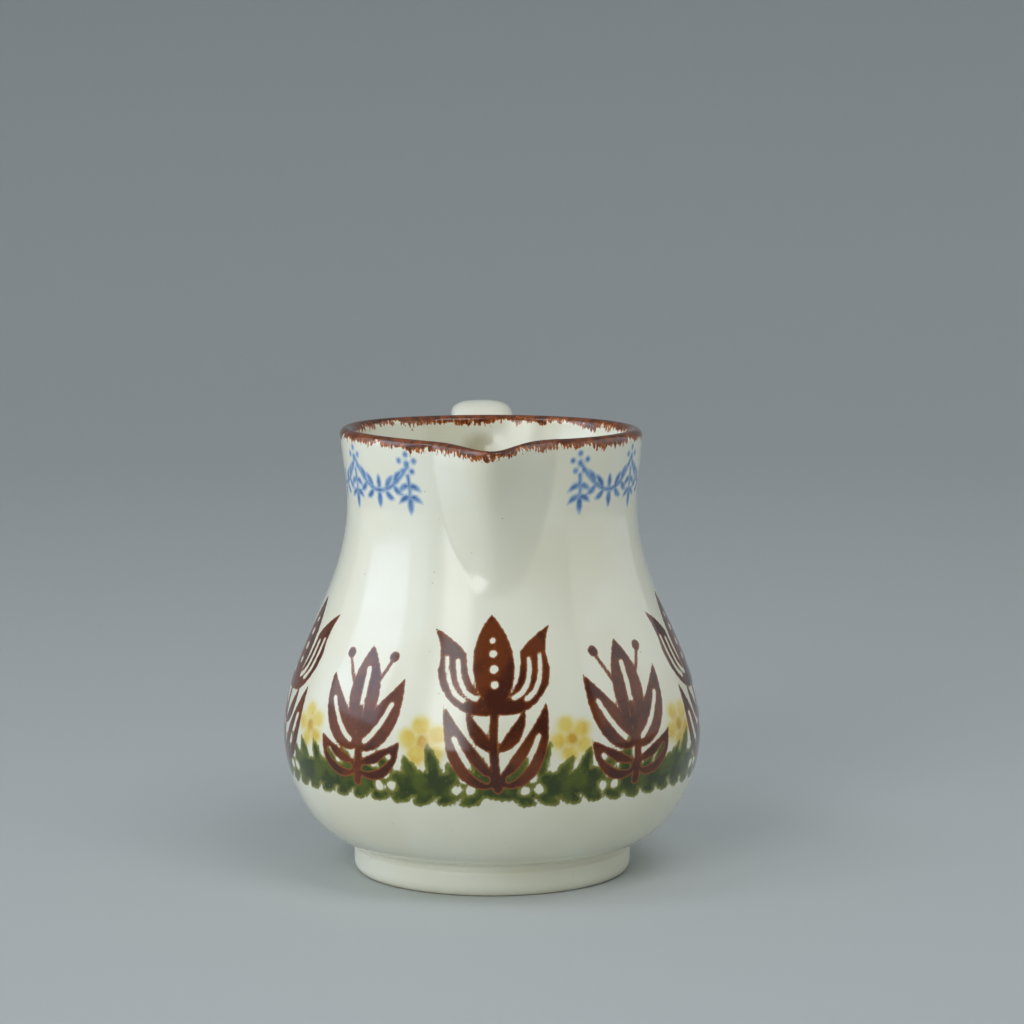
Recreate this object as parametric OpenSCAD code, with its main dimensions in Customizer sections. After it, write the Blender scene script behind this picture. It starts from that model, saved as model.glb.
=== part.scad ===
// Small glazed earthenware jug: a round belly on a turned foot, a short neck,
// a pulled beak spout and a strap handle luted on at two joints.
// Millimetres. The origin is the middle of the foot on the table, +Z is up,
// the spout points to -Y and the handle to +Y.

/* [Body] */
// Height of the rim above the table
rim_z = 100; // [88:0.5:120]
// Radius of the belly at its widest
belly_r = 47; // [44:0.5:51]
// Height of the widest part of the belly
belly_z = 31.8; // [28:0.2:36]
// Radius of the waist of the neck
neck_r = 32.45; // [30.5:0.05:34.5]
// Height of the rim above the waist of the neck
flare_h = 16; // [12:0.5:20]
// Radius of the outside of the rim
rim_r = 33.8; // [32.5:0.1:36]
// Thickness of the wall
wall = 3.4; // [2.8:0.1:4.2]
// Thickness of the floor
floor_t = 5; // [4:0.1:7]
// Radius of the flat part of the floor inside
floor_r = 22; // [18:0.5:26]
// Fullness of the underside of the belly, from a cone to a square corner
fullness_share = 1.86; // [1.6:0.02:2.1]
// Lean of the slope between belly and neck, 1 for an even slope
waist_share = 1.05; // [0.9:0.01:1.2]

/* [Foot] */
// Radius of the outside of the foot ring
foot_r = 31.2; // [29:0.1:33]
// Height of the foot ring
foot_h = 7.1; // [6:0.1:8.5]
// Width of the foot ring
foot_w = 6.4; // [5:0.1:8]
// Depth of the hollow under the foot
recess_h = 3.4; // [2.6:0.1:3.8]
// Ledge between the foot ring and the belly
ledge = 0.7; // [0.3:0.1:1.4]
// Radius of the rounded edges of the foot ring
foot_edge_r = 1.1; // [0.6:0.1:1.5]

/* [Spout] */
// Height of the spout, from its root to the rim
spout_h = 33.5; // [30:0.5:38]
// Reach of the spout beyond the rim
spout_reach = 12; // [9:0.2:14]
// Half width of the spout at the rim
spout_half_w = 15.4; // [13:0.2:18]
// Half width of the spout at its root
spout_root_w = 8.2; // [7:0.1:9.4]
// Half width between the folds where the spout leaves the neck, at its root
fold_root_w = 4; // [3:0.1:5]
// The same at the rim
fold_half_w = 13.5; // [11.5:0.1:14.5]
// Drop of the tip below the rim
tip_drop = 0.9; // [0:0.1:1.8]
// Half width of the dip at the tip
tip_half_w = 8.5; // [6:0.5:11]

/* [Handle] */
// Width of the strap at its upper end
strap_top_w = 14.8; // [12:0.2:18]
// Width of the strap at its lower end
strap_low_w = 11.6; // [9:0.2:15]
// Thickness of the strap at its upper end
strap_top_t = 7.2; // [6:0.1:8]
// Thickness of the strap at its lower end
strap_low_t = 5.8; // [4.8:0.1:7]
// Distance from the axis of the jug to the back of the handle
handle_back_y = 66; // [62:0.5:72]
// Depth below the rim at which the handle leaves the neck
handle_top_drop = 10.5; // [9:0.5:13]
// Depth of the furthest point of the handle below the place where it leaves the neck
handle_back_drop = 10.5; // [7:0.5:14]
// Height at which the handle meets the belly
handle_low_z = 42.5; // [39:0.5:47]
// Angle above level at which the handle leaves the neck
top_lift = 38; // [28:1:42]
// Angle above level at which the handle leaves the belly
low_lift = 30; // [20:1:40]

/* [Joints] */
// Length of the luted joint between the strap and the wall
joint_t = 4.6; // [4:0.1:5.6]
// Width of the flare of the joint round the strap
joint_flare = 1.7; // [1:0.1:2.4]

/* [Hidden] */
$fn = 96;

glaze_colour = [0.89, 0.87, 0.78];
foot_colour = [0.85, 0.82, 0.71];
slip_colour = [0.87, 0.85, 0.75];

// Overrun of the cuts
cut_over = 4;

// Heights and radii that follow from the sizes above
neck_z = rim_z - flare_h;
spout_z = rim_z - spout_h;
handle_top_z = rim_z - handle_top_drop;
handle_back_z = handle_top_z - handle_back_drop;
floor_z = recess_h + floor_t;
lip_r = wall / 2;
lip_z = rim_z - lip_r;
seat_r = foot_r - ledge;
core_r = foot_r - foot_w;

// Counts of the stations up the wall and round the lip
low_n = 16;
mid_n = 14;
beak_n = 18;
lip_n = 10;

// Steepness of the flare of the rim
flare_share = 1.2;

// A curve from 0 to 1 that starts steeply and ends level
function swell(t, p) = pow(1 - pow(1 - t, p), 1 / p);
function ease(t) = t <= 0 ? 0 : t >= 1 ? 1 : (1 - cos(180 * t)) / 2;

// Radius of the wall above the belly's widest part, set in from the outside
function upper_r(z, inset) = z < neck_z
    ? neck_r - inset + (belly_r - neck_r) * ease(pow((neck_z - z) / (neck_z - belly_z), waist_share))
    : neck_r - inset + (rim_r - neck_r) * pow((z - neck_z) / (rim_z - neck_z), flare_share);
function wall_r(z) = z < belly_z
    ? seat_r + (belly_r - seat_r) * swell((z - foot_h) / (belly_z - foot_h), fullness_share)
    : upper_r(z, 0);

// Stations below the belly's widest part: a quarter of a full oval
function bowl_points(start_r, start_z, inset) = [for (i = [0:low_n])
    let (a = 90 * i / low_n, e = 2 / fullness_share)
    [start_r + (belly_r - inset - start_r) * pow(sin(a), e),
     belly_z - (belly_z - start_z) * pow(cos(a), e)]];

// Heights above it, with a station at the root of the spout
mid_heights = [for (i = [1:mid_n]) belly_z + (spout_z - belly_z) * i / mid_n];
beak_heights = [for (i = [0:beak_n]) spout_z + (lip_z - spout_z) * i / beak_n];

// Lip from the outside of the wall over to the inside
lip_mid_r = upper_r(lip_z, lip_r);
lip_points = [for (i = [1:lip_n - 1]) let (a = 180 * i / lip_n)
    [lip_mid_r + lip_r * cos(a), lip_z + lip_r * sin(a)]];

function reversed(list) = [for (i = [len(list) - 1:-1:0]) list[i]];

outer_points = concat(bowl_points(seat_r, foot_h, 0),
    [for (z = mid_heights) [upper_r(z, 0), z]],
    [for (i = [1:beak_n]) [upper_r(beak_heights[i], 0), beak_heights[i]]]);
inner_points = concat(bowl_points(floor_r, floor_z, wall),
    [for (z = mid_heights) [upper_r(z, wall), z]],
    [for (i = [1:beak_n]) [upper_r(beak_heights[i], wall), beak_heights[i]]]);

// Half width of the spout at a height; its sides are flat planes
function beak_w(z) = spout_root_w
    + (spout_half_w - spout_root_w) * (z - spout_z) / (rim_z - spout_z);

// Width of the inner trough against the outside of the spout
trough_w_share = 0.82;
// How the reach grows with height, outside and inside
beak_growth_share = 1.25;
trough_growth_share = 1.6;
// How round the ridge of the spout is, outside and inside
ridge_round_share = 0.3;
trough_round_share = 0.45;
// Softness of the folds beside it, and what the rim adds to it from a height up
fold_soft_share = 0.08;
rim_soft_share = 0.25;
rim_start_share = 0.8;
// Where up the spout the tip begins to drop
drop_start_share = 0.6;

function climb(z) = min(1, max(0, (z - spout_z) / (rim_z - spout_z)));
function fold_w(z) = fold_root_w + (fold_half_w - fold_root_w) * (1 - pow(1 - climb(z), 2));
// Form across the spout: 1 on the ridge and 0 from the folds on
function ridge(u, k, soft) =
    let (v = (sqrt(1 + k * k) - sqrt(u * u + k * k)) / (sqrt(1 + k * k) - k))
    v <= 0 ? 0 : v * v * (1 + soft) / (v + soft);
function drop(x, z) = abs(x) >= tip_half_w ? 0 : tip_drop * (1 + cos(180 * x / tip_half_w)) / 2
    * ease((climb(z) - drop_start_share) / (1 - drop_start_share));
function beak_push(x, z, side) = let (c = climb(z), w = fold_w(z),
    soft = fold_soft_share + rim_soft_share * ease((c - rim_start_share) / (1 - rim_start_share)))
    spout_reach * ((1 - side) * pow(c, beak_growth_share) * ridge(x / w, ridge_round_share, soft)
        + side * pow(c, trough_growth_share)
            * ridge(x / (w * trough_w_share), trough_round_share, soft));

// Stations of the spout: up the outside, over the lip and down the inside,
// each with its radius, its height and 0 outside to 1 inside
beak_stations = concat(
    [for (z = beak_heights) [upper_r(z, 0), z, 0]],
    [for (p = lip_points) [p[0], p[1], (lip_mid_r + lip_r - p[0]) / wall]],
    reversed([for (z = beak_heights) [upper_r(z, wall), z, 1]]));

beak_cols = 36;
function beak_point(s, u) = let (x = u * beak_w(s[1]))
    [x, -sqrt(s[0] * s[0] - x * x) - beak_push(x, s[1], s[2]), s[1] - drop(x, s[1])];

// Two triangles of a grid of points with rows of the given length
function grid_pair(a, b, c, d) = [[a, b, c], [a, c, d]];
function flat_list(list) = [for (part = list) for (item = part) item];

// Handle: two curves that meet at the furthest point of its centre line
function on_wall(z, lift_angle, out) =
    [wall_r(z) + out * cos(lift_angle), z + out * sin(lift_angle)];
top_end = on_wall(handle_top_z, top_lift, joint_t);
low_end = on_wall(handle_low_z, low_lift, joint_t);
back_t = (strap_top_t + strap_low_t) / 2;
back_point = [handle_back_y - back_t / 2, handle_back_z];
// Lengths of the curves' arms against the steps that they cross
top_arm_share = 0.54;
crest_arm_share = 0.91;
back_arm_share = 0.58;
low_arm_share = 0.8;
top_run = back_point[0] - top_end[0];
low_run = back_point[0] - low_end[0];
low_fall = back_point[1] - low_end[1];
top_curve = [top_end,
    top_end + top_run * top_arm_share * [cos(top_lift), sin(top_lift)],
    back_point + [0, top_run * crest_arm_share],
    back_point];
low_curve = [back_point,
    back_point - [0, low_fall * back_arm_share],
    low_end + low_run * low_arm_share * [cos(low_lift), sin(low_lift)],
    low_end];

function bezier(p, t) = pow(1 - t, 3) * p[0] + 3 * pow(1 - t, 2) * t * p[1]
    + 3 * (1 - t) * t * t * p[2] + t * t * t * p[3];
function bezier_way(p, t) = let (d = pow(1 - t, 2) * (p[1] - p[0])
    + 2 * (1 - t) * t * (p[2] - p[1]) + t * t * (p[3] - p[2])) d / norm(d);

curve_n = 30;
strap_sides = 28;
strap_square_share = 2.7;

function signed_pow(v, e) = (v < 0 ? -1 : 1) * pow(abs(v), e);
// A rounded strap section round a point of the centre line, square to its way
function strap_ring(centre, way, w, t) = [for (i = [0:strap_sides - 1])
    let (a = 360 * i / strap_sides, e = 2 / strap_square_share,
         across = w / 2 * signed_pow(cos(a), e), out = t / 2 * signed_pow(sin(a), e))
    [across, centre[0] - way[1] * out, centre[1] + way[0] * out]];
function strap_w(s) = strap_top_w + (strap_low_w - strap_top_w) * ease(s);
function strap_t(s) = strap_top_t + (strap_low_t - strap_top_t) * ease(s);

// Rings joined into one closed solid, with a fan over each end
module skin(rings) {
    n = len(rings[0]);
    m = len(rings);
    function mean(ring) = [for (k = [0:2]) [for (p = ring) p[k]] * [for (p = ring) 1] / n];
    points = concat(flat_list(rings), [mean(rings[0]), mean(rings[m - 1])]);
    sides = [for (j = [0:m - 2]) for (i = [0:n - 1]) let (k = (i + 1) % n)
        each grid_pair(j * n + i, (j + 1) * n + i, (j + 1) * n + k, j * n + k)];
    ends = [for (i = [0:n - 1]) let (k = (i + 1) % n)
        each [[n * m, i, k], [n * m + 1, (m - 1) * n + k, (m - 1) * n + i]]];
    polyhedron(points = points, faces = concat(sides, ends), convexity = 6);
}

// Everything within the outside of the wall
module filled_body() {
    rotate_extrude() polygon(concat([[0, foot_h]], outer_points,
        [for (i = [1:lip_n / 2]) i == lip_n / 2 ? [lip_mid_r, rim_z] : lip_points[i - 1]],
        [[0, rim_z]]));
}

module body() {
    color(glaze_colour) difference() {
        rotate_extrude() polygon(concat(
            [[0, recess_h], [core_r, recess_h], [core_r, foot_h]],
            outer_points, lip_points, reversed(inner_points), [[0, floor_z]]));
        beak_notch();
    }
}

// The gap in the wall that the spout fills, with the spout's own sides
module beak_notch() {
    top_z = rim_z + cut_over;
    rotate([90, 0, 0]) linear_extrude(max(belly_r, neck_r, rim_r) + cut_over)
        polygon([[-beak_w(spout_z), spout_z], [beak_w(spout_z), spout_z],
                 [beak_w(top_z), top_z], [-beak_w(top_z), top_z]]);
}

module spout() {
    rows = len(beak_stations);
    cols = beak_cols + 1;
    points = [for (s = beak_stations) for (c = [0:beak_cols])
        beak_point(s, 2 * c / beak_cols - 1)];
    shell_faces = [for (r = [0:rows - 2]) for (c = [0:cols - 2])
        each grid_pair(r * cols + c, (r + 1) * cols + c,
            (r + 1) * cols + c + 1, r * cols + c + 1)];
    // Flat sides, from each station to the one opposite on the inside
    side_faces = [for (r = [0:floor(rows / 2) - 1]) let (q = rows - 1 - r)
        for (c = [0, cols - 1]) let (low = r * cols + c, high = low + cols,
            far_low = q * cols + c, far_high = far_low - cols)
        each [for (tri = high == far_high ? [[low, far_low, high]]
                  : grid_pair(low, far_low, far_high, high))
            c == 0 ? tri : reversed(tri)]];
    base_faces = [for (c = [0:cols - 2]) let (q = (rows - 1) * cols)
        each grid_pair(c, c + 1, q + c + 1, q + c)];
    color(glaze_colour) polyhedron(points = points,
        faces = concat(shell_faces, side_faces, base_faces), convexity = 6);
}

module foot_ring() {
    arc_n = 6;
    edge = foot_edge_r;
    function corner(r, z, a0) = [for (i = [0:arc_n]) let (a = a0 + 90 * i / arc_n)
        [r + edge * cos(a), z + edge * sin(a)]];
    color(foot_colour) rotate_extrude() polygon(concat(
        corner(core_r + edge, edge, 180),
        corner(foot_r - edge, edge, 270),
        corner(foot_r - edge, foot_h - edge, 0),
        [[core_r, foot_h]]));
}

module handle() {
    top_part = [for (i = [0:curve_n]) let (t = i / curve_n, s = t / 2)
        strap_ring(bezier(top_curve, t), bezier_way(top_curve, t), strap_w(s), strap_t(s))];
    low_part = [for (i = [1:curve_n]) let (t = i / curve_n, s = (1 + t) / 2)
        strap_ring(bezier(low_curve, t), bezier_way(low_curve, t), strap_w(s), strap_t(s))];
    color(glaze_colour) skin(concat(top_part, low_part));
}

// Distance from a point to the wall along a way, found in a few steps
function wall_reach(p, way, d, tries) = tries == 0 ? d :
    let (q = p + d * [0, way[0], way[1]])
    wall_reach(p, way, d + (norm([q[0], q[1]]) - wall_r(q[2])) / -way[0], tries - 1);

// A flared collar of slip from an end of the strap to the wall
module handle_joint(end, way, w, t) {
    tries = 6;
    steps = 7;
    strap = strap_ring(end, way, w, t);
    run = [0, way[0], way[1]];
    middle = [0, end[0], end[1]];
    flared = [for (i = [0:steps]) let (s = i / steps, grow = joint_flare * (1 - sqrt(1 - s * s)))
        [for (p = strap) p + wall_reach(p, way, joint_t, tries) * s * run
            + grow * (p - middle) / norm(p - middle)]];
    buried = [for (p = flared[steps]) p + wall * run];
    color(slip_colour) difference() {
        skin(concat(flared, [buried]));
        filled_body();
    }
}

module upper_handle_joint() {
    handle_joint(top_end, [-cos(top_lift), -sin(top_lift)], strap_top_w, strap_top_t);
}

module lower_handle_joint() {
    handle_joint(low_end, [-cos(low_lift), -sin(low_lift)], strap_low_w, strap_low_t);
}

body();
spout();
foot_ring();
handle();
upper_handle_joint();
lower_handle_joint();
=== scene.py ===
import math

import bpy
import numpy as np
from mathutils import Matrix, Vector


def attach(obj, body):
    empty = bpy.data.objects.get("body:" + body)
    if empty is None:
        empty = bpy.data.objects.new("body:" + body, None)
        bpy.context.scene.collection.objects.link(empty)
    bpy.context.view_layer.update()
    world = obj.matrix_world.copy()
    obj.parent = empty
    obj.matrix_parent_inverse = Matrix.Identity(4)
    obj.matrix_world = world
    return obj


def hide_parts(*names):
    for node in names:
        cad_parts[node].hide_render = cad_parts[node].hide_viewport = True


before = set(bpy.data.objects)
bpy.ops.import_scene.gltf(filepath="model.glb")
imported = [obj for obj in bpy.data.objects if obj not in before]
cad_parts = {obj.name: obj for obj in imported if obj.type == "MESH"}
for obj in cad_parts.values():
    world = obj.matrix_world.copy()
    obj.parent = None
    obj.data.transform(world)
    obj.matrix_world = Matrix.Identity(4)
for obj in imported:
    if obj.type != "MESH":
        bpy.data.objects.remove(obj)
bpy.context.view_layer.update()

# Millimetres in metres, the farthest distance from a drawn edge, and the random draws
mm = 0.001
far = 3.0  # the largest distance from a drawn edge that is kept, in mm
random = np.random.default_rng(31)

# Wall of the pot, with sizes in mm that are the same as the solids'
pot = {
    "rimZ": 100.0, "rimR": 33.8, "neckZ": 84.0, "neckR": 32.45,
    "bellyZ": 31.8, "bellyR": 47.0, "wall": 3.4,
    "footZ": 7.1, "seatR": 30.5, "coreR": 24.8, "recessZ": 3.4,
    "floorZ": 8.4, "floorR": 22.0,
    "fullness": 1.86, "waist": 1.05, "flare": 1.2,  # powers in the curves of bowl, wall and neck
    "columns": 460,
    # Points along the bowl and the wall before they are spaced out
    "bowlPoints": 400, "wallPoints": 900,
    # Spacing of the rows at heights up the outside and the inside
    "outerStep": ([7, 18, 22, 67, 71, 78, 81, 99], [1.7, 1.3, 0.5, 0.5, 1.2, 1.2, 0.47, 0.47]),
    "innerStep": ([8, 60, 86, 93, 99], [4.0, 3.4, 1.4, 0.55, 0.55]),
    "lipRows": 14,
    "floorRings": [17.0, 11.0, 5.0],
    "recessRings": [6.0, 13.0, 19.0],
    # Mark of the thumb that held the wall while the handle was pressed on
    "thumbX": -1.8, "thumbZ": 92.4, "thumbW": 3.4, "thumbH": 3.4, "thumbDepth": 1.1,
    # Corner of the hollow under the foot, and how far the skin runs on inside the foot ring
    "recessFillet": 1.6, "recessRows": 6, "tuckR": 0.4, "tuckUp": 0.02, "tuckOut": 2.5,
    # How much the inside opens towards the rim, and over which height
    "opening": 0.7, "openingH": 8.0,
}

# Margins of the map for baking, and the share of its height that rows out of sight get
bakeMap = {"side": 0.003, "end": 0.006, "pole": 0.001, "hidden": 0.35}

# The spout, drawn out of the neck between two folds
beak = {
    "rootZ": 66.5, "reach": 12.0, "growth": 1.25, "troughGrowth": 1.6,
    "foldRootW": 4.0, "foldW": 13.5, "troughShare": 0.82,
    "ridgeRound": 0.4, "troughRound": 0.45,
    "foldSoft": 0.08, "rimSoft": 0.2, "rimStart": 0.85, "dropStart": 0.45,
    "lean": -0.9,  # the hand-pulled tip stands a little off the middle
    # The mouth isn't quite round or level
    "mouthSpread": 0.3, "mouthShift": -0.2, "leftRise": 0.45, "mouthPower": 1.5,
    # How far the edge falls at places across it, and how these values are smoothed
    "fallX": [-22, -16, -12.5, -9.5, -6.5, -3.6, 0, 1.6, 3.3, 5, 6.7, 8.5, 11, 15, 30],
    "fall": [0, 0.12, 0.26, 0.3, 0.42, 0.68, 0.92, 0.8, 0.44, 0.02, -0.27, -0.36, -0.3, -0.2, -0.2],
    "fallSpan": 40, "fallStep": 0.25, "fallBlur": 0.9, "blurSteps": 16,
    "fallReach": 12.0,  # distance in front of the axis from which the fall is full
}

lipR = pot["wall"] / 2
lipZ = pot["rimZ"] - lipR


def ease(t):
    return (1 - np.cos(np.pi * np.clip(t, 0, 1))) / 2


def wallR(z, inset=0.0):
    # Radius of the wall from the widest part of the belly up
    fall = np.clip((pot["neckZ"] - z) / (pot["neckZ"] - pot["bellyZ"]), 0, 1)
    rise = np.clip((z - pot["neckZ"]) / (pot["rimZ"] - pot["neckZ"]), 0, 2)
    return (pot["neckR"] - inset + (pot["bellyR"] - pot["neckR"]) * ease(fall ** pot["waist"])
            + (pot["rimR"] - pot["neckR"]) * rise ** pot["flare"])


def bowl(startR, startZ, inset):
    # Quarter of a full oval, from the foot out to the widest part
    a = np.linspace(0, np.pi / 2, pot["bowlPoints"])
    power = 2 / pot["fullness"]
    r = startR + (pot["bellyR"] - inset - startR) * np.sin(a) ** power
    z = pot["bellyZ"] - (pot["bellyZ"] - startZ) * np.cos(a).clip(0) ** power
    return np.column_stack([r, z])


def side(inset, startR, startZ, opening=0.0):
    # Line of the wall from the foot up to the lip
    z = np.linspace(pot["bellyZ"], lipZ, pot["wallPoints"])[1:]
    r = wallR(z, inset + opening) + opening * ease(1 - (lipZ - z) / pot["openingH"])
    return np.vstack([bowl(startR, startZ, inset + opening), np.column_stack([r, z])])


def arcOf(line):
    # Length along a line up to each of its points
    steps = np.hypot(*np.diff(line, axis=0).T)
    return np.concatenate([[0], np.cumsum(steps)])


def spaced(line, step):
    # Points along a line, as close together as the step at each height asks
    arc = arcOf(line)
    wanted = 1 / np.interp(line[:, 1], *step)
    count = np.concatenate([[0], np.cumsum(np.diff(arc) * (wanted[1:] + wanted[:-1]) / 2)])
    places = np.interp(np.linspace(0, count[-1], round(count[-1]) + 1), count, arc)
    return np.column_stack([np.interp(places, arc, line[:, k]) for k in (0, 1)])


outerLine = side(0.0, pot["seatR"], pot["footZ"])
outerArc = arcOf(outerLine)
outer = spaced(outerLine, pot["outerStep"])
inner = spaced(side(pot["wall"], pot["floorR"], pot["floorZ"], pot["opening"]), pot["innerStep"])[::-1]
lipTurn = np.linspace(0, np.pi, pot["lipRows"] + 1)[1:-1]
lipMidR = float(wallR(lipZ, lipR))
lip = np.column_stack([lipMidR + lipR * np.cos(lipTurn), lipZ + lipR * np.sin(lipTurn)])

# Hollow under the foot, with a soft corner
turn = np.linspace(0, np.pi / 2, pot["recessRows"])
corner = pot["recessFillet"]
tuckR = pot["coreR"] + pot["tuckR"]
underside = np.vstack([
    [[r, pot["recessZ"]] for r in pot["recessRings"]],
    np.column_stack([pot["coreR"] - corner + corner * np.sin(turn),
                     pot["recessZ"] - corner + corner * np.cos(turn)]),
    [[tuckR, pot["recessZ"] - corner], [tuckR, pot["footZ"] + pot["tuckUp"]],
     [pot["coreR"] + pot["tuckOut"], pot["footZ"]]],
])
floorRings = np.array([[r, pot["floorZ"]] for r in pot["floorRings"]])

rows = np.vstack([underside, outer, lip, inner, floorRings])
firstOuter = len(underside)
firstLip = firstOuter + len(outer)
firstInner = firstLip + len(lip)
rowR, rowZ = rows[:, 0], rows[:, 1]

# Distance over the lip from its top, above 0 outside and below 0 inside
meridian = arcOf(rows)
topRow = firstLip + len(lip) // 2
fromLip = meridian[topRow] - meridian

# 0 on the outside, 1 on the inside and in between over the lip
inwards = np.clip((lipMidR + lipR - rowR) / pot["wall"], 0, 1)
inwards[:firstLip] = 0
inwards[firstInner:] = 1

columns = pot["columns"]
theta = -np.pi + 2 * np.pi * np.arange(columns) / columns  # 0 at the spout, the seam behind

# The fall of the edge across the mouth, smoothed with a bell curve
lipX = np.arange(-beak["fallSpan"], beak["fallSpan"] + beak["fallStep"] / 2, beak["fallStep"])
bell = np.arange(-beak["blurSteps"], beak["blurSteps"] + 1) * beak["fallStep"] / beak["fallBlur"]
bell = np.exp(-0.5 * bell ** 2)
lipFall = np.pad(np.interp(lipX, beak["fallX"], beak["fall"]), beak["blurSteps"], "edge")
lipFall = np.convolve(lipFall, bell / bell.sum(), "valid")


def ridge(u, roundness, soft):
    # Form across the beak: 1 on its ridge and 0 from the folds on
    top = math.sqrt(1 + roundness ** 2)
    v = np.maximum((top - np.sqrt(u * u + roundness ** 2)) / (top - roundness), 0)
    return v * v * (1 + soft) / (v + soft)


def pulled(points, inside):
    # Draws the front of the neck out into the beak
    x, y, z = points[..., 0], points[..., 1], points[..., 2]
    climb = np.clip((z - beak["rootZ"]) / (pot["rimZ"] - beak["rootZ"]), 0, 1)
    foldW = beak["foldRootW"] + (beak["foldW"] - beak["foldRootW"]) * (1 - (1 - climb) ** 2)
    nearRim = ease((climb - beak["rimStart"]) / (1 - beak["rimStart"]))
    soft = beak["foldSoft"] + beak["rimSoft"] * nearRim
    out = climb ** beak["growth"] * ridge(x / foldW, beak["ridgeRound"], soft)
    troughW = foldW * beak["troughShare"]
    trough = climb ** beak["troughGrowth"] * ridge(x / troughW, beak["troughRound"], soft)
    push = np.where(y < 0, (1 - inside) * out + inside * trough, 0)
    dropping = ease((climb - beak["dropStart"]) / (1 - beak["dropStart"]))
    fall = dropping * np.interp(x, lipX, lipFall) * np.clip(-y / beak["fallReach"], 0, 1)
    mouth = np.clip((z - pot["neckZ"]) / (pot["rimZ"] - pot["neckZ"]), 0, 1) ** beak["mouthPower"]
    shift = beak["mouthSpread"] * x / pot["rimR"] + beak["mouthShift"]
    rise = beak["leftRise"] * np.clip(-x / pot["rimR"], 0, 1) ** 2
    thumb = np.exp(-((x - pot["thumbX"]) / pot["thumbW"]) ** 2
                   - ((z - pot["thumbZ"]) / pot["thumbH"]) ** 2)
    moved = points.copy()
    moved[..., 0] += beak["lean"] * push + mouth * shift
    moved[..., 1] += np.where(y > 0, pot["thumbDepth"] * thumb * inside, 0) - beak["reach"] * push
    moved[..., 2] += mouth * rise - fall
    return moved


def turned(r, z):
    # Rows of points round the axis
    r, z = np.asarray(r)[:, None], np.asarray(z)[:, None]
    return np.stack([r * np.sin(theta), -r * np.cos(theta), z + 0 * theta], axis=-1)


def newPiece(name, points, faces):
    # A smooth mesh from points in metres
    mesh = bpy.data.meshes.new(name)
    mesh.from_pydata(points, [], faces)
    mesh.shade_smooth()
    mesh.update()
    made = bpy.data.objects.new(name, mesh)
    bpy.context.scene.collection.objects.link(made)
    return made


def ringFaces(count, around, closed=False):
    # Faces between rings of points, each ring joined to the next, and the last to the first if closed
    i = np.arange(around)
    k = (i + 1) % around
    starts = [(j * around, (j + 1) % count * around) for j in range(count if closed else count - 1)]
    return np.concatenate([np.column_stack([a + i, a + k, b + k, b + i]) for a, b in starts]).tolist()


def closedMesh(name, rings, firstPole, lastPole):
    # Rings of points joined into one skin, closed by a fan at each end
    count, around = rings.shape[:2]
    points = np.vstack([rings.reshape(-1, 3), [firstPole, lastPole]]) * mm
    i = np.arange(around)
    k = (i + 1) % around
    low = np.column_stack([np.full(around, count * around), k, i])
    high = np.column_stack([np.full(around, count * around + 1),
                            (count - 1) * around + i, (count - 1) * around + k])
    return newPiece(name, points.tolist(), ringFaces(count, around) + low.tolist() + high.tolist())


def unwrap(piece, rowV, around):
    # A map for baking, round the axis across it and row by row up it
    i = np.arange(around)
    left, right = (bakeMap["side"] + (1 - 2 * bakeMap["side"]) * (i + edge) / around for edge in (0, 1))
    middle = (left + right) / 2
    v = bakeMap["end"] + (1 - 2 * bakeMap["end"]) * (rowV - rowV[0]) / (rowV[-1] - rowV[0])
    levels = [np.full(around, level) for level in v]
    low, high = np.full(around, bakeMap["pole"]), np.full(around, 1 - bakeMap["pole"])
    corners = [np.column_stack([left, a, right, a, right, b, left, b])
               for a, b in zip(levels[:-1], levels[1:])]
    corners.append(np.column_stack([middle, low, right, levels[0], left, levels[0]]))
    corners.append(np.column_stack([middle, high, left, levels[-1], right, levels[-1]]))
    flat = np.concatenate([part.ravel() for part in corners])
    piece.data.uv_layers.new(name="OFBake").data.foreach_set("uv", flat)


rings = pulled(turned(rowR, rowZ), inwards[:, None])
rings[:firstOuter] = turned(rowR, rowZ)[:firstOuter]
potPiece = closedMesh("pot", rings, (0, 0, pot["recessZ"]), (0, 0, pot["floorZ"]))
rowIndex = np.arange(len(rows))
rowShare = np.where((rowIndex >= firstOuter) & (rowIndex <= firstInner), 1.0, bakeMap["hidden"])
unwrap(potPiece, np.cumsum(rowShare * np.diff(meridian, prepend=0)), columns)
print("pot:", len(rows), "rows,", len(potPiece.data.polygons), "faces")

# Drawing on the wall: distances in mm to the edge of each slip, below 0 inside it. Each motif is
# drawn about 0, 0 with y up the wall
brush = {
    "faraway": 99.0, "shortest": 1e-9, "steps": 12, "leafSteps": 16, "leafTaper": 0.9,
    "veinStart": 0.16, "veinEnd": 0.74, "veinTaper": 0.85,
}


def stroke(x, y, points, halves):
    # Distance from a stroke whose half width changes along it
    best = np.full(x.shape, brush["faraway"])
    for (ax, ay), (bx, by), wa, wb in zip(points[:-1], points[1:], halves[:-1], halves[1:]):
        dx, dy = bx - ax, by - ay
        squared = max(dx * dx + dy * dy, brush["shortest"])
        t = np.clip(((x - ax) * dx + (y - ay) * dy) / squared, 0, 1)
        best = np.minimum(best, np.hypot(x - ax - t * dx, y - ay - t * dy) - (wa + (wb - wa) * t))
    return best


def bent(a, b, c, start=0.0, end=1.0, count=brush["steps"]):
    # Points from a to c on a curve that is drawn towards b
    t = np.linspace(start, end, count)[:, None]
    return (1 - t) ** 2 * np.array(a) + 2 * t * (1 - t) * np.array(b) + t ** 2 * np.array(c)


def line(x, y, a, b, c, half, endHalf):
    return stroke(x, y, bent(a, b, c), np.linspace(half, endHalf, brush["steps"]))


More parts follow.
